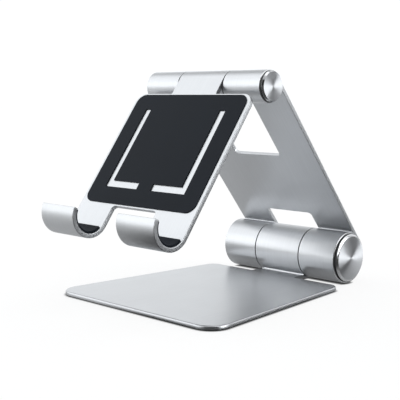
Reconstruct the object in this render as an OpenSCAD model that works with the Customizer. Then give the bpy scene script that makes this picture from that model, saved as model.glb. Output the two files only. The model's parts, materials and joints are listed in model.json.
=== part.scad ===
// Folding tablet stand: a tapered base plate, a leaning arm and a tilting holder
// with two hooks, joined by two friction hinges inside round barrels.
// The hinge pins lie along X, the holder faces -Y, and the stand rests on Z = 0.

/* [Base plate] */
// Width of the base plate at its front edge, before its corners are rounded
base_front_w = 110; // [96:1:140]
// Width of the base plate at its rear edge, before its corners are rounded
base_rear_w = 90; // [82:1:130]
// Depth of the base plate, front edge to rear edge
base_depth = 107; // [90:1:135]
// Thickness of the base plate
base_t = 2; // [1.6:0.1:4]
// Corner radius at the front of the base plate
base_front_r = 10; // [4:0.5:16]
// Corner radius at the rear of the base plate
base_rear_r = 6; // [3:0.5:12]
// Chamfer round the top edge of the base plate
base_chamfer = 0.5; // [0.2:0.1:0.8]

/* [Foot pad] */
// Thickness of the rubber foot pad
foot_t = 1; // [0.8:0.1:1.4]
// How far the foot pad stands below the plate
foot_proud = 0.4; // [0.3:0.1:0.8]
// Margin between the edge of the plate and the foot pad
foot_margin = 1.2; // [0.8:0.1:2.5]

/* [Barrels] */
// Radius of the lower hinge barrel
lower_r = 13.75; // [12:0.05:17]
// Radius of the upper hinge barrel
upper_r = 7.9; // [7:0.1:10]
// Length of both barrels, which is the width of the arm
barrel_len = 77; // [66:1:96]
// Length of the middle knuckle of both barrels
knuckle_len = 30; // [22:1:36]
// Seam between a knuckle and the arm beside it
seam_gap = 0.5; // [0.4:0.05:1]
// Gap under the lower barrel when the stand is on a table
barrel_lift = 0.35; // [0.2:0.05:1]
// Distance from the rear edge of the base plate to the lower hinge pin
hinge_setback = 16.6; // [15:0.1:24]

/* [Arm] */
// Distance between the two hinge pins
arm_span = 113.2; // [94:0.1:140]
// Slope of the line through the two hinge pins, from level
arm_lean = 53.5; // [45:0.5:80]
// Thickness of the arm plate
arm_t = 2; // [1.6:0.1:3]
// Distance from the lower pin to the far end of the lower window
lower_window_end = 19.4; // [17:0.1:26]
// Distance from the lower pin to the start of the upper window
upper_window_start = 62; // [40:0.5:75]
// Corner radius of both arm windows
window_r = 2; // [1:0.5:5]

/* [Holder] */
// Slope of the holder plate from level
holder_tilt = 53.4; // [30:0.1:80]
// Thickness of the holder plate and its hooks
holder_t = 2.2; // [1.8:0.1:3]
// Width of the holder plate
holder_w = 78.6; // [70:0.2:100]
// Distance from the upper pin to the shoulders of the holder plate
holder_shoulder = 10.1; // [9.5:0.1:16]
// Gap left between the hooks and the lower barrel when folded
fold_gap = 1.75; // [1:0.05:12]
// Width of the gap between the two hooks
hook_gap_w = 30.2; // [20:0.2:44]
// Height of the gap between the hooks, above the hooks' curve
hook_gap_rise = 10.6; // [4:0.2:20]
// Radius inside the hooks
hook_r = 8.7; // [6:0.1:10]
// Angle below level at which the lip of a hook ends
hook_lip_angle = 10; // [0:1:50]
// Corner radius of the shoulders
shoulder_r = 6; // [3:0.5:10]
// Corner radius between the hooks
hook_gap_corner_r = 1.8; // [0.8:0.1:4]

/* [Holder pad] */
// Thickness of the silicone pad
pad_t = 0.5; // [0.4:0.1:1.4]
// How far the pad stands out of the plate
pad_proud = 0.4; // [0.2:0.1:0.4]
// Margin of bare plate at each side of the pad
pad_side_margin = 1.95; // [1:0.05:6]
// Margin of bare plate above and below the pad
pad_end_margin = 0.9; // [0.6:0.1:4]
// Corner radius of the pad
pad_r = 5; // [2:0.5:8]
// Distance from the middle of the pad to the outer edge of a slot
slot_outer_x = 27.2; // [20:0.2:30]
// Distance from the middle of the pad to the inner end of a slot
slot_inner_x = 4.8; // [3:0.1:10]
// Width of the slots
slot_w = 3.7; // [2:0.1:5]
// Distance from the ends of the pad to the slots
slot_end_margin = 9; // [5:0.1:12]

/* [Hook liners] */
// Thickness of the silicone liner in the hooks
liner_t = 1.1; // [0.6:0.1:2]
// Angle below level at which a liner starts and ends
liner_end_angle = 12; // [4:1:50]
// Margin between the side of a hook and its liner
liner_margin = 0.6; // [0.2:0.1:3]

/* [Lower hinge] */
// Radius of the pin where it turns in the bushes
lower_pin_r = 4; // [3.5:0.1:4.4]
// Radius of the threaded ends of the pin
lower_thread_r = 3; // [2.5:0.1:3.4]
// How far the flanges of the bushes, seen in the seams, are set in from the barrel
lower_flange_inset = 1.25; // [0.8:0.05:4]
// Radius of the pocket in each end of the barrel
lower_pocket_r = 10.5; // [10:0.1:11]
// Radius of the disc springs
lower_disc_r = 8; // [6.5:0.1:9]
// Radius of the lock nuts across their corners
lower_nut_r = 5.8; // [5:0.1:6.6]

/* [Upper hinge] */
// Radius of the pin where it turns in the bushes
upper_pin_r = 2.5; // [2.3:0.1:2.9]
// Radius of the threaded ends of the pin
upper_thread_r = 2; // [1.5:0.1:2.1]
// How far the flanges of the bushes, seen in the seams, are set in from the barrel
upper_flange_inset = 0.9; // [0.6:0.05:2]
// Radius of the pocket in each end of the barrel
upper_pocket_r = 5.9; // [5.7:0.1:6.2]
// Radius of the disc springs
upper_disc_r = 4.6; // [4:0.1:5]
// Radius of the lock nuts across their corners
upper_nut_r = 3.9; // [3.4:0.1:4]

/* [End rings, caps and plugs] */
// Width of the black ring at the right end of each barrel
ring_w = 0.9; // [0.8:0.1:3]
// How far the ring on the lower barrel is set in from it
lower_ring_inset = 0.65; // [0.2:0.05:1]
// How far the ring on the upper barrel is set in from it
upper_ring_inset = 0.3; // [0.1:0.05:0.5]
// Thickness of the metal caps on the rings
cap_t = 1; // [0.6:0.1:2]
// How far the lower cap is set in from its ring
lower_cap_inset = 0.3; // [0.1:0.05:1]
// How far the upper cap is set in from its ring
upper_cap_inset = 0.1; // [0.1:0.05:0.6]
// Width of the polished bevel round the face of the lower cap
lower_bevel = 1.2; // [0.4:0.1:2]
// Width of the polished bevel round the face of the upper cap
upper_bevel = 0.6; // [0.2:0.1:1]
// How far the plugs in the left ends of the barrels are set in
plug_inset = 0.4; // [0.1:0.1:0.8]
// Thickness of the plugs
plug_t = 1.2; // [0.8:0.1:1.5]

/* [Hidden] */

// Fineness of round shapes and of small corners
round_fn = 96;
corner_fn = 48;
// Radial clearance of a part that turns, and of one that is pressed or glued in
run_fit = 0.04;
seat_fit = 0.02;
// Gap between flat faces that slide on each other
face_gap = 0.05;
// Overshoot of every cut
cut = 1;

silver = [0.80, 0.81, 0.83];
steel = [0.62, 0.63, 0.65];
black = [0.10, 0.11, 0.12];

// Places along X, from the middle of the stand
knuckle_x = knuckle_len / 2;
segment_x = knuckle_x + seam_gap;
barrel_x = barrel_len / 2;
ring_x = barrel_x + face_gap;
cap_x = barrel_x + ring_w + seat_fit;

// How much the sides of the base plate slant, X over Y
base_taper = (base_front_w - base_rear_w) / 2 / base_depth;

// Places of the two hinge pins
lower_y = base_depth / 2 + hinge_setback;
lower_z = lower_r + barrel_lift;
upper_y = lower_y - arm_span * cos(arm_lean);
upper_z = lower_z + arm_span * sin(arm_lean);

// The arm plate touches both barrels along their backs
arm_plate_len = sqrt(pow(arm_span, 2) - pow(lower_r - upper_r, 2));
arm_slope = arm_lean - asin((lower_r - upper_r) / arm_span);

// The holder is just short enough to fold in front of the lower barrel
hook_centre = arm_span - lower_r - hook_r - holder_t - fold_gap;
hook_gap_top = hook_centre - hook_gap_rise;
hook_w = (holder_w - hook_gap_w) / 2;
hook_mid_x = (holder_w + hook_gap_w) / 4;

// The pad and its pocket in the holder
pad_x = holder_w / 2 - pad_side_margin;
pad_top = -holder_shoulder - pad_end_margin;
pad_bottom = -hook_gap_top + pad_end_margin;
pad_floor = upper_r - pad_t + pad_proud;

// Hinge hardware: hexagonal key, bushes, washers, disc springs and nuts
key_step = 1.6;
lower_bush_r = lower_pin_r + 2;
upper_bush_r = upper_pin_r + 1.3;
lower_flange_r = lower_r - lower_flange_inset;
upper_flange_r = upper_r - upper_flange_inset;
lower_ring_r = lower_r - lower_ring_inset;
upper_ring_r = upper_r - upper_ring_inset;
lower_cap_r = lower_ring_r - lower_cap_inset;
upper_cap_r = upper_ring_r - upper_cap_inset;
washer_t = 1;
washer_inset = 1;
disc_pairs = 2;
disc_rise = 0.35;
lower_disc_t = 0.7;
upper_disc_t = 0.45;
lower_nut_t = 4.4;
upper_nut_t = 3.2;
thread_past_nut = 0.8;
spigot_len = 2.4;
spigot_wall = 1.8;
boss_wall = 0.9;
boss_len = 1.6;
cap_rim_t = 0.1;

// Places of the hardware along X, inward from the ends of the barrels
lower_pocket_x = barrel_x - 13;
upper_pocket_x = barrel_x - 11;
lower_springs_x = lower_pocket_x + washer_t + face_gap;
upper_springs_x = upper_pocket_x + washer_t + face_gap;
lower_nut_x = lower_springs_x + 2 * disc_pairs * disc_pitch(lower_disc_t);
upper_nut_x = upper_springs_x + 2 * disc_pairs * disc_pitch(upper_disc_t);
lower_pin_end = lower_nut_x + lower_nut_t + thread_past_nut;
upper_pin_end = upper_nut_x + upper_nut_t + thread_past_nut;

function disc_pitch(t) = t + disc_rise + face_gap;

// Moves a shape to a hinge pin
module at_lower() { translate([0, lower_y, lower_z]) children(); }
module at_upper() { translate([0, upper_y, upper_z]) children(); }

// The arm's frame: -Y runs from the lower pin to the upper one, Z to its back
module arm_frame() { at_lower() rotate([-arm_slope, 0, 0]) children(); }

// The holder's frame: Y runs up to the upper pin, Z out of its face
module holder_frame() { at_upper() rotate([holder_tilt, 0, 0]) children(); }

// Side 1 is the right end and side -1 the left end
module on_side(side) { mirror([side < 0 ? 1 : 0, 0, 0]) children(); }

// A round bar along X
module bar_x(r, x0, x1) {
    translate([x0, 0, 0]) rotate([0, 90, 0]) cylinder(h = x1 - x0, r = r, $fn = round_fn);
}

// A hexagonal bar along X
module hex_bar_x(r, x0, x1) {
    translate([x0, 0, 0]) rotate([0, 90, 0]) cylinder(h = x1 - x0, r = r, $fn = 6);
}

// A round tube along X
module tube_x(r_out, r_in, x0, x1) {
    difference() {
        bar_x(r_out, x0, x1);
        bar_x(r_in, x0 - cut, x1 + cut);
    }
}

// Pushes an outline drawn in Y and Z out along X, to both sides
module extrude_x(length) {
    translate([-length / 2, 0, 0]) rotate([90, 0, 90]) linear_extrude(length) children();
}

// A rectangle with round corners
module round_rect(x0, y0, x1, y1, r) {
    translate([x0 + r, y0]) square([x1 - x0 - 2 * r, y1 - y0]);
    translate([x0, y0 + r]) square([x1 - x0, y1 - y0 - 2 * r]);
    for (x = [x0 + r, x1 - r], y = [y0 + r, y1 - r]) {
        translate([x, y]) circle(r, $fn = corner_fn);
    }
}

// Distance in X from the middle of the base plate to its slanting side, at Y
function base_side_x(y) = (base_front_w + base_rear_w) / 4 - y * base_taper;

// Outline of the base plate, less a margin all round
module base_outline(margin) {
    corner_reach = sqrt(1 + pow(base_taper, 2));
    front_y = base_front_r - base_depth / 2;
    rear_y = base_depth / 2 - base_rear_r;
    hull() for (side = [-1, 1]) {
        translate([side * (base_side_x(front_y) - base_front_r * corner_reach), front_y])
            circle(base_front_r - margin, $fn = corner_fn);
        translate([side * (base_side_x(rear_y) - base_rear_r * corner_reach), rear_y])
            circle(base_rear_r - margin, $fn = corner_fn);
    }
}

module base_plate() {
    color(silver) difference() {
        union() {
            translate([0, 0, foot_proud]) hull() {
                linear_extrude(base_t - base_chamfer) base_outline(0);
                linear_extrude(base_t) base_outline(base_chamfer);
            }
            // The tongue that runs under the knuckle
            translate([-knuckle_x, base_depth / 2 - base_rear_r, foot_proud])
                cube([knuckle_len, hinge_setback + base_rear_r, base_t]);
            at_lower() bar_x(lower_r, -knuckle_x, knuckle_x);
        }
        translate([0, 0, foot_proud - cut])
            linear_extrude(foot_t - foot_proud + seat_fit + cut) base_outline(foot_margin - seat_fit);
        at_lower() hex_bar_x(lower_pin_r + key_step + run_fit, -knuckle_x - cut, knuckle_x + cut);
    }
}

module base_foot_pad() {
    color(black) linear_extrude(foot_t) base_outline(foot_margin);
}

// Outline of the arm seen from its side
module arm_section() {
    circle(lower_r, $fn = round_fn);
    translate([-arm_plate_len, lower_r - upper_r]) circle(upper_r, $fn = round_fn);
    translate([-arm_plate_len, lower_r - arm_t]) square([arm_plate_len, arm_t]);
}

// A window through the arm that also clears a knuckle
module arm_window(y0, y1) {
    depth = 4 * lower_r;
    translate([0, 0, -depth / 2]) linear_extrude(depth)
        round_rect(-segment_x, y0, segment_x, y1, window_r);
}

// Bores for the bush and the hardware in both ends of a barrel
module barrel_bores(bush_r, pocket_r, pocket_x) {
    for (side = [-1, 1]) on_side(side) {
        bar_x(bush_r + seat_fit, segment_x - cut, barrel_x);
        bar_x(pocket_r, pocket_x, barrel_x + cut);
    }
}

module arm() {
    window_over = window_r + cut;
    color(silver) difference() {
        arm_frame() difference() {
            extrude_x(barrel_len) arm_section();
            arm_window(-lower_window_end, lower_r + window_over);
            arm_window(-arm_plate_len - upper_r - window_over, -upper_window_start);
        }
        at_lower() barrel_bores(lower_bush_r, lower_pocket_r, lower_pocket_x);
        at_upper() barrel_bores(upper_bush_r, upper_pocket_r, upper_pocket_x);
    }
}

// Outline of the flat part of the holder
module holder_outline() {
    half = holder_w / 2;
    difference() {
        union() {
            round_rect(-half, -hook_centre, half, -holder_shoulder, shoulder_r);
            translate([-half, -hook_centre]) square([holder_w, shoulder_r]);
            translate([-knuckle_x, -holder_shoulder - shoulder_r])
                square([knuckle_len, holder_shoulder + shoulder_r]);
        }
        round_rect(-hook_gap_w / 2, -hook_centre - hook_gap_corner_r - cut,
            hook_gap_w / 2, -hook_gap_top, hook_gap_corner_r);
    }
}

// Section of a hook, from the plate round to the lip
module hook_section(r_out, r_in, root_angle, lip_angle) {
    far = 3 * r_out;
    difference() {
        circle(r_out, $fn = round_fn);
        circle(r_in, $fn = round_fn);
        polygon([
            [0, 0],
            [-far * sin(lip_angle), far * cos(lip_angle)],
            [far, far],
            [far, -far],
            [-far * sin(root_angle), -far * cos(root_angle)]
        ]);
    }
}

// Moves a shape to the middle of the hook on one side
module at_hook(side) {
    on_side(side) translate([hook_mid_x, -hook_centre, upper_r + hook_r]) children();
}

module holder() {
    color(silver) holder_frame() difference() {
        union() {
            translate([0, 0, upper_r - holder_t]) linear_extrude(holder_t) holder_outline();
            bar_x(upper_r, -knuckle_x, knuckle_x);
            for (side = [-1, 1]) at_hook(side)
                extrude_x(hook_w) hook_section(hook_r + holder_t, hook_r, 0, hook_lip_angle);
        }
        translate([0, 0, pad_floor]) linear_extrude(pad_t)
            round_rect(-pad_x - seat_fit, pad_bottom - seat_fit, pad_x + seat_fit, pad_top + seat_fit, pad_r);
        hex_bar_x(upper_pin_r + key_step + run_fit, -knuckle_x - cut, knuckle_x + cut);
    }
}

// One L-shaped slot of the pad
module pad_slot() {
    slot_low = pad_bottom + slot_end_margin;
    slot_high = pad_top - slot_end_margin;
    translate([slot_outer_x - slot_w, slot_low]) square([slot_w, slot_high - slot_low]);
    translate([slot_inner_x, slot_low]) square([slot_outer_x - slot_inner_x, slot_w]);
}

module holder_pad() {
    color(black) holder_frame() translate([0, 0, pad_floor + seat_fit])
        linear_extrude(pad_t - seat_fit) difference() {
            round_rect(-pad_x, pad_bottom, pad_x, pad_top, pad_r);
            for (side = [-1, 1]) on_side(side) pad_slot();
        }
}

module hook_liner(side) {
    color(black) holder_frame() at_hook(side) extrude_x(hook_w - 2 * liner_margin)
        hook_section(hook_r - seat_fit, hook_r - liner_t, liner_end_angle, liner_end_angle);
}

// A hinge pin: hexagonal in its knuckle, round in the bushes, threaded at the ends
module hinge_pin(pin_r, thread_r, pocket_x, end_x) {
    color(steel) {
        hex_bar_x(pin_r + key_step, -knuckle_x, knuckle_x);
        bar_x(pin_r, -pocket_x - washer_t, pocket_x + washer_t);
        bar_x(thread_r, -end_x, end_x);
    }
}

// A flanged bush whose flange fills the seam beside the knuckle
module flanged_bush(side, pin_r, bush_r, flange_r, pocket_x) {
    color(black) on_side(side) difference() {
        union() {
            bar_x(bush_r, knuckle_x + face_gap, pocket_x - face_gap);
            bar_x(flange_r, knuckle_x + face_gap, segment_x - face_gap);
        }
        bar_x(pin_r + run_fit, 0, barrel_x);
    }
}

module friction_washer(side, pin_r, pocket_r, pocket_x) {
    color(steel) on_side(side)
        tube_x(pocket_r - washer_inset, pin_r + run_fit, pocket_x + face_gap, pocket_x + washer_t);
}

// Coned disc springs in pairs, rim to rim
module disc_springs(side, thread_r, disc_r, disc_t, springs_x) {
    hole_r = thread_r + 3 * run_fit;
    pitch = disc_pitch(disc_t);
    color(steel) on_side(side) for (pair = [0 : disc_pairs - 1], flip = [0, 1]) {
        translate([springs_x + 2 * pair * pitch + flip * (2 * pitch - face_gap), 0, 0])
            mirror([flip, 0, 0]) rotate([0, 90, 0]) rotate_extrude($fn = round_fn)
                polygon([
                    [hole_r, 0],
                    [disc_r, disc_rise],
                    [disc_r, disc_rise + disc_t],
                    [hole_r, disc_t]
                ]);
    }
}

module lock_nut(side, thread_r, nut_r, nut_x, nut_t) {
    color(steel) on_side(side) difference() {
        hex_bar_x(nut_r, nut_x, nut_x + nut_t);
        bar_x(thread_r + run_fit, nut_x - cut, nut_x + nut_t + cut);
    }
}

// A black ring with a spigot that sits in the right end of a barrel
module end_ring(ring_r, pocket_r) {
    color(black) difference() {
        union() {
            bar_x(ring_r, ring_x, barrel_x + ring_w);
            bar_x(pocket_r - seat_fit, barrel_x - spigot_len, barrel_x + ring_w);
        }
        bar_x(pocket_r - spigot_wall, 0, barrel_x + ring_w + cut);
    }
}

// A turned metal cap with a bevelled rim and a boss that sits in the ring
module end_cap(cap_r, bevel, pocket_r) {
    boss_r = pocket_r - spigot_wall - seat_fit;
    color(silver) {
        bar_x(cap_r, cap_x, cap_x + cap_rim_t);
        translate([cap_x + cap_rim_t, 0, 0]) rotate([0, 90, 0])
            cylinder(h = cap_t - cap_rim_t, r1 = cap_r, r2 = cap_r - bevel, $fn = round_fn);
        tube_x(boss_r, boss_r - boss_wall, cap_x - boss_len, cap_x + cap_rim_t / 2);
    }
}

// A metal plug with a skirt, set in the left end of a barrel
module end_plug(pocket_r) {
    plug_r = pocket_r - seat_fit;
    color(silver) on_side(-1) {
        bar_x(plug_r, barrel_x - plug_inset - plug_t, barrel_x - plug_inset);
        tube_x(plug_r, plug_r - boss_wall, barrel_x - spigot_len, barrel_x - plug_inset - plug_t / 2);
    }
}

module lower_hinge_pin() {
    at_lower() hinge_pin(lower_pin_r, lower_thread_r, lower_pocket_x, lower_pin_end);
}
module lower_bush(side) {
    at_lower() flanged_bush(side, lower_pin_r, lower_bush_r, lower_flange_r, lower_pocket_x);
}
module lower_friction_washer(side) {
    at_lower() friction_washer(side, lower_pin_r, lower_pocket_r, lower_pocket_x);
}
module lower_disc_springs(side) {
    at_lower() disc_springs(side, lower_thread_r, lower_disc_r, lower_disc_t, lower_springs_x);
}
module lower_lock_nut(side) {
    at_lower() lock_nut(side, lower_thread_r, lower_nut_r, lower_nut_x, lower_nut_t);
}
module lower_end_ring() { at_lower() end_ring(lower_ring_r, lower_pocket_r); }
module lower_end_cap() { at_lower() end_cap(lower_cap_r, lower_bevel, lower_pocket_r); }
module lower_end_plug() { at_lower() end_plug(lower_pocket_r); }

module upper_hinge_pin() {
    holder_frame() hinge_pin(upper_pin_r, upper_thread_r, upper_pocket_x, upper_pin_end);
}
module upper_bush(side) {
    at_upper() flanged_bush(side, upper_pin_r, upper_bush_r, upper_flange_r, upper_pocket_x);
}
module upper_friction_washer(side) {
    at_upper() friction_washer(side, upper_pin_r, upper_pocket_r, upper_pocket_x);
}
module upper_disc_springs(side) {
    at_upper() disc_springs(side, upper_thread_r, upper_disc_r, upper_disc_t, upper_springs_x);
}
module upper_lock_nut(side) {
    holder_frame() lock_nut(side, upper_thread_r, upper_nut_r, upper_nut_x, upper_nut_t);
}
module upper_end_ring() { at_upper() end_ring(upper_ring_r, upper_pocket_r); }
module upper_end_cap() { at_upper() end_cap(upper_cap_r, upper_bevel, upper_pocket_r); }
module upper_end_plug() { at_upper() end_plug(upper_pocket_r); }

base_plate();
base_foot_pad();
arm();
holder();
holder_pad();
hook_liner(-1);  // hook_liner_left
hook_liner(1);  // hook_liner_right
lower_hinge_pin();
lower_bush(-1);  // lower_bush_left
lower_bush(1);  // lower_bush_right
lower_friction_washer(-1);  // lower_friction_washer_left
lower_friction_washer(1);  // lower_friction_washer_right
lower_disc_springs(-1);  // lower_disc_springs_left
lower_disc_springs(1);  // lower_disc_springs_right
lower_lock_nut(-1);  // lower_lock_nut_left
lower_lock_nut(1);  // lower_lock_nut_right
lower_end_ring();
lower_end_cap();
lower_end_plug();
upper_hinge_pin();
upper_bush(-1);  // upper_bush_left
upper_bush(1);  // upper_bush_right
upper_friction_washer(-1);  // upper_friction_washer_left
upper_friction_washer(1);  // upper_friction_washer_right
upper_disc_springs(-1);  // upper_disc_springs_left
upper_disc_springs(1);  // upper_disc_springs_right
upper_lock_nut(-1);  // upper_lock_nut_left
upper_lock_nut(1);  // upper_lock_nut_right
upper_end_ring();
upper_end_cap();
upper_end_plug();
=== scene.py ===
# A folding tablet stand in satin aluminium with black silicone pads.
# Pieces are drawn in millimetres in their own frames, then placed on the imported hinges.
import json
from math import asin, atan2, cos, radians, sqrt, tan

import bmesh
import bpy
from mathutils import Matrix, Vector


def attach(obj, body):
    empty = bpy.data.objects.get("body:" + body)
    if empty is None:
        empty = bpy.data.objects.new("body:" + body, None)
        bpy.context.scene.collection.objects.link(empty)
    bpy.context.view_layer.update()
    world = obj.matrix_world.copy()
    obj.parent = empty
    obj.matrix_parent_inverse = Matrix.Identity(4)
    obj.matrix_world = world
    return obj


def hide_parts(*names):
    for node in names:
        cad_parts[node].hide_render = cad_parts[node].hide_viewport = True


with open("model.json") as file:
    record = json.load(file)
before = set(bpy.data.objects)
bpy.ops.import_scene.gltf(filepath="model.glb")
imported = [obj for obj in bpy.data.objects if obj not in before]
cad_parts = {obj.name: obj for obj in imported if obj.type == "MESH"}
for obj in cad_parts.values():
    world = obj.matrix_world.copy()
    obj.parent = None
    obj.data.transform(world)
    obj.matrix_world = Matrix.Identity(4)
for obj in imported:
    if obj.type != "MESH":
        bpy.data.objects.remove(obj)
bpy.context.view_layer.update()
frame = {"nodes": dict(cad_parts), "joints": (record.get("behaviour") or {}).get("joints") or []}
nodes = frame["nodes"]
hinges = {joint["name"]: Vector(joint["pos_m"]) for joint in frame["joints"]}
bpy.context.scene.view_settings.view_transform = "Standard"
print("frame loaded")

millimetre = 0.001
fullTurn = radians(360)
cloudsPerMetre = 38

creaseAngle = radians(50)  # edges sharper than this stay crisp
clearance = 0.02  # left between pieces that touch
near = 1e-3  # two places this close count as one

# the two hinge barrels, whose ends are on the arm and whose knuckles are on the base and the holder
barrel = {
    "lowerRadius": 13.75, "upperRadius": 7.9, "length": 77, "knuckle": 30, "seam": 0.5,
    "edge": 0.12, "endEdge": 0.35,
    "lowerBush": 6.0, "upperBush": 3.8, "lowerPocket": 10.5, "upperPocket": 5.9,
    "lowerPocketDepth": 13, "upperPocketDepth": 11, "lowerKey": 5.6, "upperKey": 4.1,
}
holderTilt = 53.4  # degrees between the holder and the desk

# places that follow from the hinges and the barrels
lowerPin = hinges["arm_hinge"]
upperPin = hinges["holder_hinge"]
armSpan = (upperPin - lowerPin).length / millimetre
radiusStep = barrel["lowerRadius"] - barrel["upperRadius"]
armLength = sqrt(armSpan ** 2 - radiusStep ** 2)
armLean = atan2(upperPin.z - lowerPin.z, lowerPin.y - upperPin.y)
armSlope = armLean - asin(radiusStep / armSpan)
knuckleX = barrel["knuckle"] / 2
segmentX = knuckleX + barrel["seam"]
barrelX = barrel["length"] / 2

toMetres = Matrix.Scale(millimetre, 4)
basePlace = toMetres
armPlace = Matrix.Translation(lowerPin) @ Matrix.Rotation(-armSlope, 4, "X") @ toMetres
holderPlace = Matrix.Translation(upperPin) @ Matrix.Rotation(radians(holderTilt), 4, "X") @ toMetres
lowerPlace = Matrix.Translation(lowerPin) @ toMetres
upperPlace = Matrix.Translation(upperPin) @ toMetres


view = {
    "lens": 77.78, "sensor": 36, "nearest": 0.01, "place": (0.29906, -0.31512, 0.10086),
    "down": 6.9, "turn": 43.94,
}


# a camera that looks from the front right
def addCamera():
    data = bpy.data.cameras.new("camera")
    data.lens = view["lens"]
    data.sensor_width = view["sensor"]
    data.clip_start = view["nearest"]
    camera = bpy.data.objects.new("camera", data)
    camera.location = view["place"]
    camera.rotation_euler = (radians(90 - view["down"]), 0, radians(view["turn"]))
    bpy.context.scene.collection.objects.link(camera)
    bpy.context.scene.camera = camera


addCamera()


# node helpers
def addNode(tree, kind, values=None, **settings):
    node = tree.nodes.new(kind)
    for key, value in settings.items():
        setattr(node, key, value)
    for key, value in (values or {}).items():
        node.inputs[key].default_value = value
    return node


def join(tree, output, target):
    tree.links.new(output, target)
    return target.node


def newMaterial(name, **shaderValues):
    material = bpy.data.materials.new(name)
    material.use_nodes = True
    shader = material.node_tree.nodes["Principled BSDF"]
    for key, value in shaderValues.items():
        shader.inputs[key.replace("_", " ")].default_value = value
    return material, material.node_tree, shader


def newGroup(name, inputs, outputs):
    group = bpy.data.node_groups.new(name, "ShaderNodeTree")
    for socketName, kind, value in inputs:
        socket = group.interface.new_socket(name=socketName, in_out="INPUT", socket_type=kind)
        socket.default_value = value
    for socketName, kind in outputs:
        group.interface.new_socket(name=socketName, in_out="OUTPUT", socket_type=kind)
    return group, group.nodes.new("NodeGroupInput"), group.nodes.new("NodeGroupOutput")


# stretches the middle of a noise over a wider range
def addSpread(tree, low, high):
    values = {"From Min": 0.3, "From Max": 0.7, "To Min": low, "To Max": high}
    return addNode(tree, "ShaderNodeMapRange", values)


# slow clouding of a finish plus the fine grain of its surface, sizes in millimetres
def makeGrainGroup():
    group, given, made = newGroup(
        "surfaceGrain",
        [
            ("Color", "NodeSocketColor", (0.8, 0.8, 0.8, 1)),
            ("Clouding", "NodeSocketFloat", 0.04),
            ("Roughness", "NodeSocketFloat", 0.35),
            ("Roughness Spread", "NodeSocketFloat", 0.05),
            ("Grain Size", "NodeSocketFloat", 0.15),
            ("Grain Depth", "NodeSocketFloat", 0.01),
        ],
        [("Color", "NodeSocketColor"), ("Roughness", "NodeSocketFloat"), ("Normal", "NodeSocketVector")],
    )
    where = addNode(group, "ShaderNodeTexCoord").outputs["Object"]
    clouds = addNode(group, "ShaderNodeTexNoise", {"Scale": cloudsPerMetre, "Detail": 3, "Roughness": 0.5})
    join(group, where, clouds.inputs["Vector"])
    scale = addNode(group, "ShaderNodeMath", {0: 1000}, operation="DIVIDE")
    join(group, given.outputs["Grain Size"], scale.inputs[1])
    grain = addNode(group, "ShaderNodeTexNoise", {"Detail": 2, "Roughness": 0.6})
    join(group, where, grain.inputs["Vector"])
    join(group, scale.outputs[0], grain.inputs["Scale"])
    centred = addSpread(group, -1, 1)
    join(group, clouds.outputs["Fac"], centred.inputs["Value"])
    shade = addNode(group, "ShaderNodeMath", {2: 1}, operation="MULTIPLY_ADD")
    join(group, centred.outputs["Result"], shade.inputs[0])
    join(group, given.outputs["Clouding"], shade.inputs[1])
    tint = addNode(group, "ShaderNodeVectorMath", operation="SCALE")
    join(group, given.outputs["Color"], tint.inputs[0])
    join(group, shade.outputs[0], tint.inputs["Scale"])
    join(group, tint.outputs["Vector"], made.inputs["Color"])
    rough = addNode(group, "ShaderNodeMath", operation="MULTIPLY_ADD")
    join(group, grain.outputs["Fac"], rough.inputs[0])
    join(group, given.outputs["Roughness Spread"], rough.inputs[1])
    join(group, given.outputs["Roughness"], rough.inputs[2])
    join(group, rough.outputs[0], made.inputs["Roughness"])
    depth = addNode(group, "ShaderNodeMath", {1: millimetre}, operation="MULTIPLY")
    join(group, given.outputs["Grain Depth"], depth.inputs[0])
    bump = addNode(group, "ShaderNodeBump", {"Strength": 1})
    join(group, depth.outputs[0], bump.inputs["Distance"])
    join(group, grain.outputs["Fac"], bump.inputs["Height"])
    join(group, bump.outputs["Normal"], made.inputs["Normal"])
    return group


grainGroup = makeGrainGroup()


def addGrain(tree, shader, color, clouding, roughness, spread, size, depth, withNormal=True):
    grain = addNode(tree, "ShaderNodeGroup", node_tree=grainGroup)
    values = {"Color": (*color, 1), "Clouding": clouding, "Roughness": roughness, "Roughness Spread": spread,
              "Grain Size": size, "Grain Depth": depth}
    for key, value in values.items():
        grain.inputs[key].default_value = value
    join(tree, grain.outputs["Color"], shader.inputs["Base Color"])
    join(tree, grain.outputs["Roughness"], shader.inputs["Roughness"])
    if withNormal:
        join(tree, grain.outputs["Normal"], shader.inputs["Normal"])
    return grain


brushing = {"linesPerMetre": (5000, 40, 40), "darkest": 0.96, "lightest": 1.04}


# anodised plate with faint brushing lines that run from front to back
def satinAluminium():
    material, tree, shader = newMaterial("satinAluminium", Metallic=0.9)
    grain = addGrain(tree, shader, color=(0.56, 0.57, 0.585), clouding=0.02, roughness=0.28, spread=0.08,
                     size=0.12, depth=0.004)
    where = addNode(tree, "ShaderNodeTexCoord").outputs["Object"]
    stretched = addNode(tree, "ShaderNodeMapping", {"Scale": brushing["linesPerMetre"]})
    join(tree, where, stretched.inputs["Vector"])
    lines = addNode(tree, "ShaderNodeTexNoise", {"Scale": 1, "Detail": 2, "Roughness": 0.6})
    join(tree, stretched.outputs["Vector"], lines.inputs["Vector"])
    fine = addSpread(tree, brushing["darkest"], brushing["lightest"])
    join(tree, lines.outputs["Fac"], fine.inputs["Value"])
    brushed = addNode(tree, "ShaderNodeVectorMath", operation="SCALE")
    join(tree, grain.outputs["Color"], brushed.inputs[0])
    join(tree, fine.outputs["Result"], brushed.inputs["Scale"])
    join(tree, brushed.outputs["Vector"], shader.inputs["Base Color"])
    return material


# machined and polished edges
def brightEdge():
    material, tree, shader = newMaterial("brightEdge", Metallic=1.0)
    addGrain(tree, shader, color=(0.76, 0.765, 0.775), clouding=0.01, roughness=0.12, spread=0.05,
             size=0.3, depth=0.001)
    return material


turning = {"pitch": 0.22, "depth": 0.0025}


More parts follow.
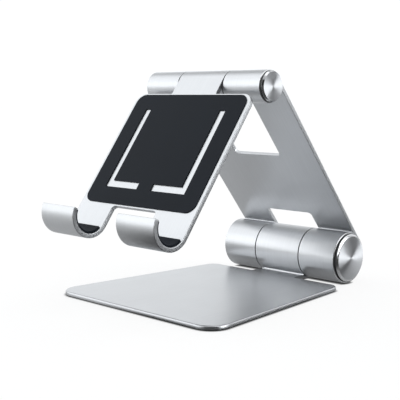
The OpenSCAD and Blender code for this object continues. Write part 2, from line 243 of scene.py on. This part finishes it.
# end caps with turning rings round their own middle
def turnedAluminium(name, centre):
    material, tree, shader = newMaterial(name, Metallic=1.0, Anisotropic=1.0, Anisotropic_Rotation=0.12)
    grain = addGrain(tree, shader, color=(0.66, 0.67, 0.69), clouding=0.02, roughness=0.36, spread=0.04,
                     size=0.1, depth=0.002, withNormal=False)
    where = addNode(tree, "ShaderNodeTexCoord").outputs["Object"]
    middle = addNode(tree, "ShaderNodeMapping", vector_type="POINT")
    middle.inputs["Location"].default_value = (0, -centre.y, -centre.z)
    middle.inputs["Scale"].default_value = (0, 1, 1)
    join(tree, where, middle.inputs["Vector"])
    radius = addNode(tree, "ShaderNodeVectorMath", operation="LENGTH")
    join(tree, middle.outputs["Vector"], radius.inputs[0])
    perMetre = fullTurn / (turning["pitch"] * millimetre)
    turns = addNode(tree, "ShaderNodeMath", {1: perMetre}, operation="MULTIPLY")
    join(tree, radius.outputs["Value"], turns.inputs[0])
    ridge = addNode(tree, "ShaderNodeMath", operation="SINE")
    join(tree, turns.outputs[0], ridge.inputs[0])
    bump = addNode(tree, "ShaderNodeBump", {"Strength": 1, "Distance": turning["depth"] * millimetre})
    join(tree, ridge.outputs[0], bump.inputs["Height"])
    join(tree, grain.outputs["Normal"], bump.inputs["Normal"])
    join(tree, bump.outputs["Normal"], shader.inputs["Normal"])
    tangent = addNode(tree, "ShaderNodeTangent", direction_type="RADIAL", axis="X")
    join(tree, tangent.outputs["Tangent"], shader.inputs["Tangent"])
    return material


def blackSilicone():
    material, tree, shader = newMaterial("blackSilicone", Specular_IOR_Level=0.14)
    addGrain(tree, shader, color=(0.005, 0.0085, 0.0145), clouding=0.08, roughness=0.55, spread=0.1,
             size=0.18, depth=0.006)
    return material


def blackPlastic():
    material, tree, shader = newMaterial("blackPlastic", Specular_IOR_Level=0.5)
    addGrain(tree, shader, color=(0.012, 0.012, 0.013), clouding=0.05, roughness=0.38, spread=0.1,
             size=0.25, depth=0.004)
    return material


def hingeSteel():
    material, tree, shader = newMaterial("hingeSteel", Metallic=1.0)
    addGrain(tree, shader, color=(0.52, 0.53, 0.55), clouding=0.05, roughness=0.28, spread=0.12,
             size=0.2, depth=0.004)
    return material


satin = satinAluminium()
bright = brightEdge()
turnedLower = turnedAluminium("turnedAluminiumLower", lowerPin)
turnedUpper = turnedAluminium("turnedAluminiumUpper", upperPin)
silicone = blackSilicone()
plastic = blackPlastic()
steel = hingeSteel()
print("materials made")


# the angle at one corner of an outline
def cornerAngle(before, corner, after):
    return (Vector(before) - Vector(corner)).angle(Vector(after) - Vector(corner))


# a flat outline pushed up from one level to another, with its corners rounded
def raisedOutline(corners, low, high):
    bm = bmesh.new()
    points = [(x, y) for x, y, radius in corners]
    face = bm.faces.new([bm.verts.new((x, y, low)) for x, y in points])
    grown = bmesh.ops.extrude_face_region(bm, geom=[face])["geom"]
    raised = [v for v in grown if isinstance(v, bmesh.types.BMVert)]
    bmesh.ops.translate(bm, vec=(0, 0, high - low), verts=raised)
    for index, (x, y, radius) in enumerate(corners):
        if radius:
            angle = cornerAngle(points[index - 1], (x, y), points[(index + 1) % len(points)])
            corner = Vector((x, y))
            upright = [e for e in bm.edges if all((v.co.xy - corner).length < near for v in e.verts)]
            bmesh.ops.bevel(bm, geom=upright, offset=radius / tan(angle / 2),
                            segments=max(4, int(radius * 2)), profile=0.5, affect="EDGES", material=-1)
    bmesh.ops.recalc_face_normals(bm, faces=bm.faces)
    return bm


# a closed section in X and radius, spun about the X axis
def turned(section, steps=96):
    bm = bmesh.new()
    verts = [bm.verts.new((x, 0, radius)) for x, radius in section]
    edges = [bm.edges.new((verts[i - 1], verts[i])) for i in range(len(verts))]
    bmesh.ops.spin(bm, geom=verts + edges, cent=(0, 0, 0), axis=(1, 0, 0), dvec=(0, 0, 0),
                   angle=fullTurn, steps=steps, use_merge=True)
    bmesh.ops.remove_doubles(bm, verts=bm.verts, dist=1e-5)
    bmesh.ops.recalc_face_normals(bm, faces=bm.faces)
    return bm


def sharpEdges(bm, angle=40):
    return [e for e in bm.edges if len(e.link_faces) == 2 and e.calc_face_angle() > radians(angle)]


def bevelEdges(bm, edges, offset, segments=2, material=-1):
    bmesh.ops.bevel(bm, geom=edges, offset=offset, segments=segments, profile=0.5, affect="EDGES",
                    material=material, clamp_overlap=True)


def addPart(bm, part, place=Matrix.Identity(4)):
    mesh = bpy.data.meshes.new("part")
    part.to_mesh(mesh)
    part.free()
    mesh.transform(place)
    if place.determinant() < 0:
        mesh.flip_normals()
    bm.from_mesh(mesh)
    bpy.data.meshes.remove(mesh)


# cuts one shape out of another and gives the result
def cutAway(bm, cutter):
    objects = []
    for source in (bm, cutter):
        mesh = bpy.data.meshes.new("cut")
        source.to_mesh(mesh)
        source.free()
        objects.append(bpy.data.objects.new("cut", mesh))
        bpy.context.scene.collection.objects.link(objects[-1])
    body, tool = objects
    modifier = body.modifiers.new("cut", "BOOLEAN")
    modifier.operation = "DIFFERENCE"
    modifier.solver = "EXACT"
    modifier.object = tool
    shown = body.evaluated_get(bpy.context.evaluated_depsgraph_get())
    result = bmesh.new()
    result.from_mesh(shown.to_mesh())
    shown.to_mesh_clear()
    for item in objects:
        mesh = item.data
        bpy.data.objects.remove(item)
        bpy.data.meshes.remove(mesh)
    return result


def finishPiece(bm, name, place, materials, body, slotName, *replaced):
    bmesh.ops.transform(bm, matrix=place, verts=bm.verts)
    if place.determinant() < 0:
        bmesh.ops.reverse_faces(bm, faces=bm.faces)
    for face in bm.faces:
        face.smooth = True
    for edge in bm.edges:
        edge.smooth = len(edge.link_faces) != 2 or edge.calc_face_angle() < creaseAngle
    mesh = bpy.data.meshes.new(name)
    bm.to_mesh(mesh)
    bm.free()
    for material in materials:
        mesh.materials.append(material)
    piece = bpy.data.objects.new(name, mesh)
    bpy.context.scene.collection.objects.link(piece)
    weighted = piece.modifiers.new("weighted", "WEIGHTED_NORMAL")
    weighted.keep_sharp = True
    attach(piece, body)
    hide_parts(*replaced)
    return piece


mirrorX = Matrix.Scale(-1, 4, (1, 0, 0))
sides = {"left": mirrorX, "right": Matrix.Identity(4)}


base = {
    "frontWidth": 110, "rearWidth": 90, "depth": 107, "thickness": 2, "lift": 0.4,
    "frontRadius": 10, "rearRadius": 6, "rootRadius": 1.2, "chamfer": 0.5, "lowerEdge": 0.15,
}


# the base plate, the tongue behind it and the knuckle in one piece
def makeBase():
    halfDepth = base["depth"] / 2
    frontX = base["frontWidth"] / 2
    rearX = base["rearWidth"] / 2
    tongueEnd = lowerPin.y / millimetre
    low = base["lift"]
    high = low + base["thickness"]
    right = [(frontX, -halfDepth, base["frontRadius"]), (rearX, halfDepth, base["rearRadius"]),
             (knuckleX, halfDepth, base["rootRadius"]), (knuckleX, tongueEnd, 0)]
    left = [(-x, y, radius) for x, y, radius in reversed(right)]
    plate = raisedOutline(right + left, low, high)
    free = [e for e in plate.edges if not all(v.co.y > tongueEnd - near for v in e.verts)]
    rim = [e for e in free if all(v.co.z > high - near for v in e.verts)]
    under = [e for e in free if all(v.co.z < low + near for v in e.verts)]
    bevelEdges(plate, rim, base["chamfer"], segments=1)
    bevelEdges(plate, [e for e in under if e.is_valid], base["lowerEdge"])
    radius = barrel["lowerRadius"]
    knuckle = turned([(-knuckleX, barrel["lowerKey"]), (-knuckleX, radius), (knuckleX, radius),
                      (knuckleX, barrel["lowerKey"])])
    bevelEdges(knuckle, sharpEdges(knuckle), barrel["edge"])
    addPart(plate, knuckle, Matrix.Translation(lowerPin / millimetre))
    pinHeight = lowerPin.z / millimetre
    root = filletStrip(radius, pinHeight - high, -knuckleX, knuckleX)
    addPart(plate, root, Matrix.Translation(lowerPin / millimetre) @ Matrix.Scale(-1, 4, (0, 0, 1)))
    finishPiece(plate, "basePlate", basePlace, [satin, bright], "base", "satin_aluminium", "base_plate")


foot = {"thickness": 1, "margin": 1.2, "edge": 0.2}


def makeFootPad():
    margin = foot["margin"]
    halfDepth = base["depth"] / 2 - margin
    frontX = base["frontWidth"] / 2 - margin
    rearX = base["rearWidth"] / 2 - margin
    right = [(frontX, -halfDepth, base["frontRadius"] - margin),
             (rearX, halfDepth, base["rearRadius"] - margin)]
    left = [(-x, y, radius) for x, y, radius in reversed(right)]
    sole = raisedOutline(right + left, 0, foot["thickness"])
    bevelEdges(sole, sharpEdges(sole), foot["edge"])
    finishPiece(sole, "footPad", basePlace, [silicone], "base", "black_silicone", "base_foot_pad")


fillet = {"height": 0.4, "lap": 0.05, "slant": 0.02, "cover": 0.2, "topSunk": 0.4, "footSunk": 0.6}


# a thin bright fillet in the sharp corner between a barrel and a plate laid on it at one level
def filletStrip(radius, level, start, end):
    lower = level - fillet["height"]
    onBarrel = -sqrt(radius ** 2 - level ** 2)
    onPlate = -sqrt(radius ** 2 - lower ** 2) - fillet["lap"]
    section = [(onBarrel + fillet["topSunk"], level + fillet["cover"]), (onPlate, level + fillet["lap"]),
               (onPlate + fillet["slant"], lower), (onPlate + fillet["footSunk"], lower)]
    strip = bmesh.new()
    face = strip.faces.new([strip.verts.new((start, y, z)) for y, z in section])
    grown = bmesh.ops.extrude_face_region(strip, geom=[face])["geom"]
    farEnd = [v for v in grown if isinstance(v, bmesh.types.BMVert)]
    bmesh.ops.translate(strip, vec=(end - start, 0, 0), verts=farEnd)
    bmesh.ops.recalc_face_normals(strip, faces=strip.faces)
    for side in strip.faces:
        side.material_index = 1
    return strip


# one end of a barrel, bored for its bush and pocketed for the hinge hardware
def barrelEnd(radius, bush, pocket, depth):
    floor = barrelX - depth
    part = turned([(segmentX, bush), (segmentX, radius), (barrelX, radius), (barrelX, pocket),
                   (floor, pocket), (floor, bush)])
    outer = [e for e in sharpEdges(part) if all(v.co.yz.length > radius - near for v in e.verts)]
    bevelEdges(part, [e for e in outer if e.verts[0].co.x < segmentX + near], barrel["edge"])
    bevelEdges(part, [e for e in outer if e.is_valid and e.verts[0].co.x > barrelX - near], barrel["endEdge"],
               material=1)
    return part


arm = {"thickness": 2, "lowerWindow": 19.4, "upperWindow": 62, "windowRadius": 2, "edge": 0.2}


def makeArm():
    high = barrel["lowerRadius"]
    low = high - arm["thickness"]
    corner = arm["windowRadius"]
    right = [(barrelX, 0, 0), (barrelX, -armLength, 0), (segmentX, -armLength, 0),
             (segmentX, -arm["upperWindow"], corner)]
    rightLow = [(segmentX, -arm["lowerWindow"], corner), (segmentX, 0, 0)]
    leftSide = [(-x, y, radius) for x, y, radius in reversed(right)]
    leftLow = [(-x, y, radius) for x, y, radius in reversed(rightLow)]
    plate = raisedOutline(right + leftSide + leftLow + rightLow, low, high)
    rim = [e for e in sharpEdges(plate) if abs(e.verts[0].co.z - e.verts[1].co.z) < near
           and not all(v.co.y > -near for v in e.verts)
           and not all(v.co.y < near - armLength for v in e.verts)]
    bevelEdges(plate, rim, arm["edge"])
    upper = Matrix.Translation((0, -armLength, radiusStep))
    for mirror in sides.values():
        lowerEnd = barrelEnd(barrel["lowerRadius"], barrel["lowerBush"], barrel["lowerPocket"],
                             barrel["lowerPocketDepth"])
        addPart(plate, lowerEnd, mirror)
        upperEnd = barrelEnd(barrel["upperRadius"], barrel["upperBush"], barrel["upperPocket"],
                             barrel["upperPocketDepth"])
        addPart(plate, upperEnd, upper @ mirror)
        addPart(plate, filletStrip(barrel["lowerRadius"], low, segmentX, barrelX), mirror)
    finishPiece(plate, "armBody", armPlace, [satin, bright], "arm", "satin_aluminium", "arm")


holder = {
    "thickness": 2.2, "width": 78.6, "shoulder": 10.1, "hookCentre": 86.8,
    "gapWidth": 30.2, "gapRise": 10.6, "hookRadius": 8.7, "lipAngle": 10, "shoulderRadius": 6,
    "gapRadius": 1.8, "edge": 0.25, "neckRadius": 0.8, "hookSteps": 40,
}


# the holder plate with its shoulders and tongue, its ends bent round into hooks
def makeHolder():
    high = barrel["upperRadius"]
    low = high - holder["thickness"]
    halfWidth = holder["width"] / 2
    gapX = holder["gapWidth"] / 2
    bottom = -holder["hookCentre"]
    gapTop = bottom + holder["gapRise"]
    right = [(knuckleX, 0, 0), (knuckleX, -holder["shoulder"], holder["neckRadius"]),
             (halfWidth, -holder["shoulder"], holder["shoulderRadius"]), (halfWidth, bottom, 0),
             (gapX, bottom, 0), (gapX, gapTop, holder["gapRadius"])]
    left = [(-x, y, radius) for x, y, radius in reversed(right)]
    plate = raisedOutline(right + left, low, high)
    ends = [f for f in plate.faces if f.normal.y < near - 1 and f.calc_center_median().y < bottom + near]
    hookMiddle = (0, bottom, high + holder["hookRadius"])
    bmesh.ops.spin(plate, geom=ends, cent=hookMiddle, axis=(-1, 0, 0), dvec=(0, 0, 0),
                   angle=radians(180 - holder["lipAngle"]), steps=holder["hookSteps"], use_merge=False)
    bmesh.ops.delete(plate, geom=[f for f in ends if f.is_valid and all(
        len(e.link_faces) > 2 for e in f.edges)], context="FACES_ONLY")
    bmesh.ops.recalc_face_normals(plate, faces=plate.faces)
    rim = [e for e in sharpEdges(plate, 50) if not all(v.co.y > -near for v in e.verts)]
    bevelEdges(plate, rim, holder["edge"])
    plate = cutAway(plate, padShape(pad["thickness"] + 1, -clearance))
    knuckle = turned([(-knuckleX, barrel["upperKey"]), (-knuckleX, high), (knuckleX, high),
                      (knuckleX, barrel["upperKey"])])
    bevelEdges(knuckle, sharpEdges(knuckle), barrel["edge"])
    addPart(plate, knuckle)
    finishPiece(plate, "holderPlate", holderPlace, [satin], "holder", "satin_aluminium", "holder")


pad = {
    "thickness": 0.5, "proud": 0.4, "sideMargin": 1.95, "endMargin": 0.9, "radius": 5,
    "slotOuter": 27.2, "slotInner": 4.8, "slotWidth": 3.7, "slotEnd": 9, "edge": 0.15,
}


# the pad's outline as a solid that stands on the floor of its pocket
def padShape(height, margin):
    x = holder["width"] / 2 - pad["sideMargin"] - margin
    top = -holder["shoulder"] - pad["endMargin"] - margin
    bottom = -holder["hookCentre"] + holder["gapRise"] + pad["endMargin"] + margin
    floor = barrel["upperRadius"] - pad["thickness"] + pad["proud"]
    corner = pad["radius"]
    return raisedOutline([(x, top, corner), (x, bottom, corner), (-x, bottom, corner), (-x, top, corner)],
                         floor, floor + height)


def makePad():
    top = -holder["shoulder"] - pad["endMargin"] - pad["slotEnd"]
    bottom = -holder["hookCentre"] + holder["gapRise"] + pad["endMargin"] + pad["slotEnd"]
    outer = pad["slotOuter"]
    inner = pad["slotInner"]
    width = pad["slotWidth"]
    shape = padShape(pad["thickness"], clearance)
    for mirror in (1, -1):
        corners = [(outer, top), (outer, bottom), (inner, bottom), (inner, bottom + width),
                   (outer - width, bottom + width), (outer - width, top)]
        slot = raisedOutline([(mirror * x, y, 0) for x, y in corners], 0, 3 * barrel["upperRadius"])
        shape = cutAway(shape, slot)
    bmesh.ops.dissolve_limit(shape, angle_limit=radians(1), verts=shape.verts, edges=shape.edges)
    floor = min(v.co.z for v in shape.verts)
    rim = [e for e in sharpEdges(shape) if all(v.co.z > floor + near for v in e.verts)]
    bevelEdges(shape, rim, pad["edge"])
    finishPiece(shape, "holderPad", holderPlace, [silicone], "holder", "black_silicone", "holder_pad")


liner = {"thickness": 1.1, "margin": 0.6, "endAngle": 12, "edge": 0.3, "steps": 36}


# a strip of silicone that lines the inside of one hook
def makeLiner(side):
    outer = holder["hookRadius"] - clearance
    inner = outer - liner["thickness"]
    low = holder["gapWidth"] / 2 + liner["margin"]
    high = holder["width"] / 2 - liner["margin"]
    strip = bmesh.new()
    corners = [(low, -outer), (high, -outer), (high, -inner), (low, -inner)]
    start = strip.faces.new([strip.verts.new((x, 0, z)) for x, z in corners])
    bmesh.ops.rotate(strip, cent=(0, 0, 0), matrix=Matrix.Rotation(-radians(liner["endAngle"]), 3, "X"),
                     verts=strip.verts)
    bmesh.ops.spin(strip, geom=[start], cent=(0, 0, 0), axis=(-1, 0, 0), dvec=(0, 0, 0),
                   angle=radians(180 - 2 * liner["endAngle"]), steps=liner["steps"], use_merge=False)
    bmesh.ops.recalc_face_normals(strip, faces=strip.faces)
    bevelEdges(strip, sharpEdges(strip), liner["edge"])
    middle = Matrix.Translation((0, -holder["hookCentre"], barrel["upperRadius"] + holder["hookRadius"]))
    finishPiece(strip, "hookLiner" + side.title(), holderPlace @ middle @ sides[side], [silicone],
                "holder", "black_silicone", "hook_liner_" + side)


ring = {
    "width": 0.9, "lowerRadius": 13.1, "upperRadius": 7.6, "spigot": 2.4, "gap": 0.05, "wall": 1.8,
    "edge": 0.15,
}


# a black ring whose spigot sits in the pocket of a barrel
def makeRing(level, outer, pocket, place):
    spigot = pocket - clearance
    bore = pocket - ring["wall"]
    inside = barrelX - ring["spigot"]
    start = barrelX + ring["gap"]
    end = barrelX + ring["width"]
    hoop = turned([(inside, bore), (inside, spigot), (start, spigot), (start, outer), (end, outer),
                   (end, bore)])
    rim = [e for e in sharpEdges(hoop) if all(v.co.yz.length > outer - near for v in e.verts)]
    bevelEdges(hoop, rim, ring["edge"])
    finishPiece(hoop, level + "Ring", place, [plastic], "arm", "black_plastic", level + "_end_ring")


cap = {
    "thickness": 1, "rim": 0.1, "lowerRadius": 12.8, "upperRadius": 7.5, "lowerFace": 11.6, "upperFace": 6.9,
    "boss": 1.6, "bossWall": 0.9,
}


# a turned cap with a polished bevel round its face, and a hollow boss that sits in the ring
def makeCap(level, radius, faceRadius, pocket, place, material):
    start = barrelX + ring["width"] + clearance
    face = start + cap["thickness"]
    boss = pocket - ring["wall"] - clearance
    hollow = boss - cap["bossWall"]
    disc = turned([(face, 0), (face, faceRadius), (start + cap["rim"], radius), (start, radius),
                   (start, boss), (start - cap["boss"], boss), (start - cap["boss"], hollow),
                   (start, hollow), (start, 0)])
    for part in disc.faces:
        part.material_index = int(part.normal.x > near and part.calc_center_median().yz.length > faceRadius)
    finishPiece(disc, level + "Cap", place, [material, bright], "arm", "turned_aluminium",
                level + "_end_cap")


plug = {"inset": 0.4, "thickness": 1.2, "skirt": 2.4, "wall": 0.9, "edge": 0.2}


# a plug in the left end of a barrel, a little below its edge
def makePlug(level, pocket, place, material):
    radius = pocket - clearance
    face = barrelX - plug["inset"]
    inner = face - plug["thickness"]
    end = barrelX - plug["skirt"]
    hollow = radius - plug["wall"]
    disc = turned([(face, 0), (face, radius), (end, radius), (end, hollow), (inner, hollow), (inner, 0)])
    rim = [e for e in sharpEdges(disc) if all(v.co.x > face - near for v in e.verts)]
    bevelEdges(disc, rim, plug["edge"])
    finishPiece(disc, level + "Plug", place @ mirrorX, [material], "arm", "turned_aluminium",
                level + "_end_plug")


makeBase()
makeFootPad()
makeArm()
makeHolder()
makePad()
for side in sides:
    makeLiner(side)
makeRing("lower", ring["lowerRadius"], barrel["lowerPocket"], lowerPlace)
makeRing("upper", ring["upperRadius"], barrel["upperPocket"], upperPlace)
makeCap("lower", cap["lowerRadius"], cap["lowerFace"], barrel["lowerPocket"], lowerPlace, turnedLower)
makeCap("upper", cap["upperRadius"], cap["upperFace"], barrel["upperPocket"], upperPlace, turnedUpper)
makePlug("lower", barrel["lowerPocket"], lowerPlace, turnedLower)
makePlug("upper", barrel["upperPocket"], upperPlace, turnedUpper)
print("visible pieces made")

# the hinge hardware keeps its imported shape
hardwareFinish = {"pin": steel, "washer": steel, "springs": steel, "nut": steel, "bush": plastic}
for name, node in nodes.items():
    for word, material in hardwareFinish.items():
        if word in name.split("_"):
            for slot in node.material_slots:
                slot.material = material
print("hinge hardware finished")


# each soft patch has a direction, the angles in degrees where it starts and is full, and a strength
studio = {
    "tint": (0.965, 0.985, 1, 1), "level": 0.54, "least": 0.03, "backdrop": 1.06,
    "patches": [
        ((-0.76, -0.54, 0.4), 58, 8, 1.2),
        ((-0.48, -0.86, 0.2), 36, 8, 0.45),
        ((-0.2, -0.1, 0.97), 36, 5, 0.5),
        ((0.5, 0.25, 0.83), 36, 22, 1.0),
        ((0.12, 0.84, 0.53), 30, 12, 0.8),
        ((0.92, 0.38, 0.02), 30, 14, 3.6),
        ((-0.78, 0.58, 0.18), 28, 6, 0.75),
        ((0.62, -0.78, 0.05), 45, 28, -1.6),
        ((0.93, -0.3, 0.1), 34, 22, -1.6),
        ((0.8, -0.42, 0.42), 28, 18, -1.6),
    ],
}
# seen in metal, the floor is dimmer than it looks, darkest past the right end and lighter far away; a painted
# glow there keeps its shadows faint
ground = {
    "size": 6, "shade": 0.14, "glow": 0.84, "contactShadow": 0.0015, "contactPower": 2,
    "reflected": 0.42, "reflectedGlow": 0.35, "dim": 0.04, "dimSide": (0.9, -0.45, 0), "dimStart": 0, "dimEnd": 0.04,
    "farLevel": 1.6, "farStart": 0.12, "farEnd": 0.4,
}


# a pale floor that glows evenly to the camera, with a painted contact shadow where the stand meets it
def addFloor():
    bm = bmesh.new()
    bmesh.ops.create_grid(bm, x_segments=1, y_segments=1, size=ground["size"])
    mesh = bpy.data.meshes.new("floor")
    bm.to_mesh(mesh)
    bm.free()
    floor = bpy.data.objects.new("floor", mesh)
    bpy.context.scene.collection.objects.link(floor)
    material, tree, shader = newMaterial("paleFloor", Roughness=0.9, Specular_IOR_Level=0.1)
    shader.inputs["Emission Color"].default_value = (1, 1, 1, 1)
    shader.inputs["Base Color"].default_value = (*[ground["shade"]] * 3, 1)
    # painted contact shadow: the floor's glow is dimmed by ambient occlusion close under the stand
    contactShadow = addNode(tree, "ShaderNodeAmbientOcclusion", {"Distance": ground["contactShadow"]}, samples=16)
    deeper = addNode(tree, "ShaderNodeMath", {1: ground["contactPower"]}, operation="POWER")
    join(tree, contactShadow.outputs["AO"], deeper.inputs[0])
    glow = addNode(tree, "ShaderNodeMath", {1: ground["glow"]}, operation="MULTIPLY")
    join(tree, deeper.outputs[0], glow.inputs[0])
    join(tree, glow.outputs[0], shader.inputs["Emission Strength"])
    dim = addNode(tree, "ShaderNodeAddShader")
    lit = addNode(tree, "ShaderNodeBsdfDiffuse")
    # painted light: the floor glows in the metal's reflections, so its shadows there stay faint
    reflectedGlow = addNode(tree, "ShaderNodeEmission", {"Strength": ground["reflectedGlow"]})
    join(tree, lit.outputs["BSDF"], dim.inputs[0])
    join(tree, reflectedGlow.outputs["Emission"], dim.inputs[1])
    where = addNode(tree, "ShaderNodeTexCoord").outputs["Object"]
    toRight = addNode(tree, "ShaderNodeVectorMath", operation="DOT_PRODUCT")
    toRight.inputs[1].default_value = Vector(ground["dimSide"])
    join(tree, where, toRight.inputs[0])
    fade = addNode(tree, "ShaderNodeMapRange", {"From Min": ground["dimStart"], "From Max": ground["dimEnd"],
                                                "To Min": ground["reflected"], "To Max": ground["dim"]},
                   interpolation_type="SMOOTHSTEP")
    join(tree, toRight.outputs["Value"], fade.inputs["Value"])
    away = addNode(tree, "ShaderNodeVectorMath", operation="LENGTH")
    join(tree, where, away.inputs[0])
    rise = addNode(tree, "ShaderNodeMapRange", {"From Min": ground["farStart"], "From Max": ground["farEnd"],
                                                "To Min": 1, "To Max": ground["farLevel"]})
    join(tree, away.outputs["Value"], rise.inputs["Value"])
    reflected = addNode(tree, "ShaderNodeMath", operation="MULTIPLY")
    join(tree, fade.outputs["Result"], reflected.inputs[0])
    join(tree, rise.outputs["Result"], reflected.inputs[1])
    join(tree, reflected.outputs[0], lit.inputs["Color"])
    join(tree, reflected.outputs[0], reflectedGlow.inputs["Color"])
    seen = addNode(tree, "ShaderNodeMixShader")
    join(tree, addNode(tree, "ShaderNodeLightPath").outputs["Is Camera Ray"], seen.inputs["Fac"])
    join(tree, dim.outputs["Shader"], seen.inputs[1])
    join(tree, shader.outputs["BSDF"], seen.inputs[2])
    join(tree, seen.outputs["Shader"], tree.nodes["Material Output"].inputs["Surface"])
    mesh.materials.append(material)


# a bright or dark patch of the studio, round a direction
def addPatch(tree, direction, outer, inner, strength):
    where = addNode(tree, "ShaderNodeTexCoord").outputs["Generated"]
    dot = addNode(tree, "ShaderNodeVectorMath", operation="DOT_PRODUCT")
    dot.inputs[1].default_value = Vector(direction).normalized()
    join(tree, where, dot.inputs[0])
    values = {"From Min": cos(radians(outer)), "From Max": cos(radians(inner)),
              "To Min": 0, "To Max": strength}
    patch = addNode(tree, "ShaderNodeMapRange", values, interpolation_type="SMOOTHSTEP")
    join(tree, dot.outputs["Value"], patch.inputs["Value"])
    return patch.outputs["Result"]


def addStudio():
    world = bpy.data.worlds.new("studio")
    bpy.context.scene.world = world
    world.use_nodes = True
    tree = world.node_tree
    background = tree.nodes["Background"]
    background.inputs["Color"].default_value = studio["tint"]
    level = addNode(tree, "ShaderNodeValue")
    level.outputs[0].default_value = studio["level"]
    total = level.outputs[0]
    for patch in studio["patches"]:
        add = addNode(tree, "ShaderNodeMath", operation="ADD")
        join(tree, addPatch(tree, *patch), add.inputs[0])
        join(tree, total, add.inputs[1])
        total = add.outputs[0]
    lit = addNode(tree, "ShaderNodeMath", {1: studio["least"]}, operation="MAXIMUM")
    join(tree, total, lit.inputs[0])
    rays = addNode(tree, "ShaderNodeLightPath").outputs["Is Camera Ray"]
    mix = addNode(tree, "ShaderNodeMix", data_type="FLOAT")
    join(tree, rays, mix.inputs["Factor"])
    join(tree, lit.outputs[0], mix.inputs["A"])
    mix.inputs["B"].default_value = studio["backdrop"]
    join(tree, mix.outputs["Result"], background.inputs["Strength"])


addFloor()
addStudio()
print("studio made")
